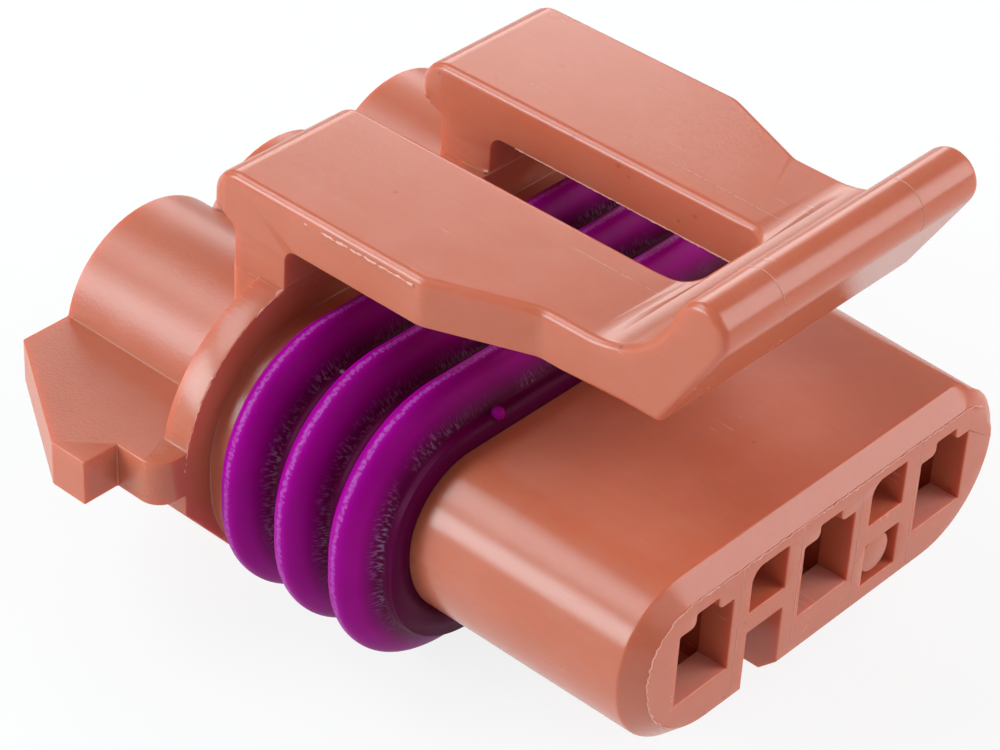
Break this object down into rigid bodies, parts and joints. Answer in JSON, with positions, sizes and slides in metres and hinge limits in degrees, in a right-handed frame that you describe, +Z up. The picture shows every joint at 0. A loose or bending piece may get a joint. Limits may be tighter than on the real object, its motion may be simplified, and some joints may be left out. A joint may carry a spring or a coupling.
{
  "type": "sealed automotive wire connector",
  "caption": "Flat plug-in connector body with a row of keyed contact cavities, a ribbed ring seal round the nose, wire tubes behind and a flexing latch on top.",
  "frame": {"origin": "middle of the mating face, at the front of the nose", "axes": "+X along the row of cavities, +Y from the mating face to the wire side, +Z up through the latch; the connector is pushed on along -Y"},
  "size_m": [0.0288, 0.0247, 0.0176],
  "materials": {
    "body_plastic": "satin moulded nylon, terracotta",
    "latch_plastic": "satin moulded nylon, terracotta",
    "seal_rubber": "smooth purple silicone",
    "wire_seal_rubber": "smooth purple silicone"
  },
  "bodies": {
    "body": {"housing": "body_plastic", "ring_seal": "seal_rubber", "wire_seal_1": "wire_seal_rubber", "wire_seal_2": "wire_seal_rubber", "wire_seal_3": "wire_seal_rubber"},
    "latch": {"latch": "latch_plastic"}
  },
  "joints": [
    {"name": "latch_flex", "type": "hinge", "parent": "body", "child": "latch", "pos_m": [0, 0.01758, 0.0067], "axis": [-1, 0, 0], "range_deg": [0, 9], "stiffness_Nm_per_rad": 0.5}
  ]
}
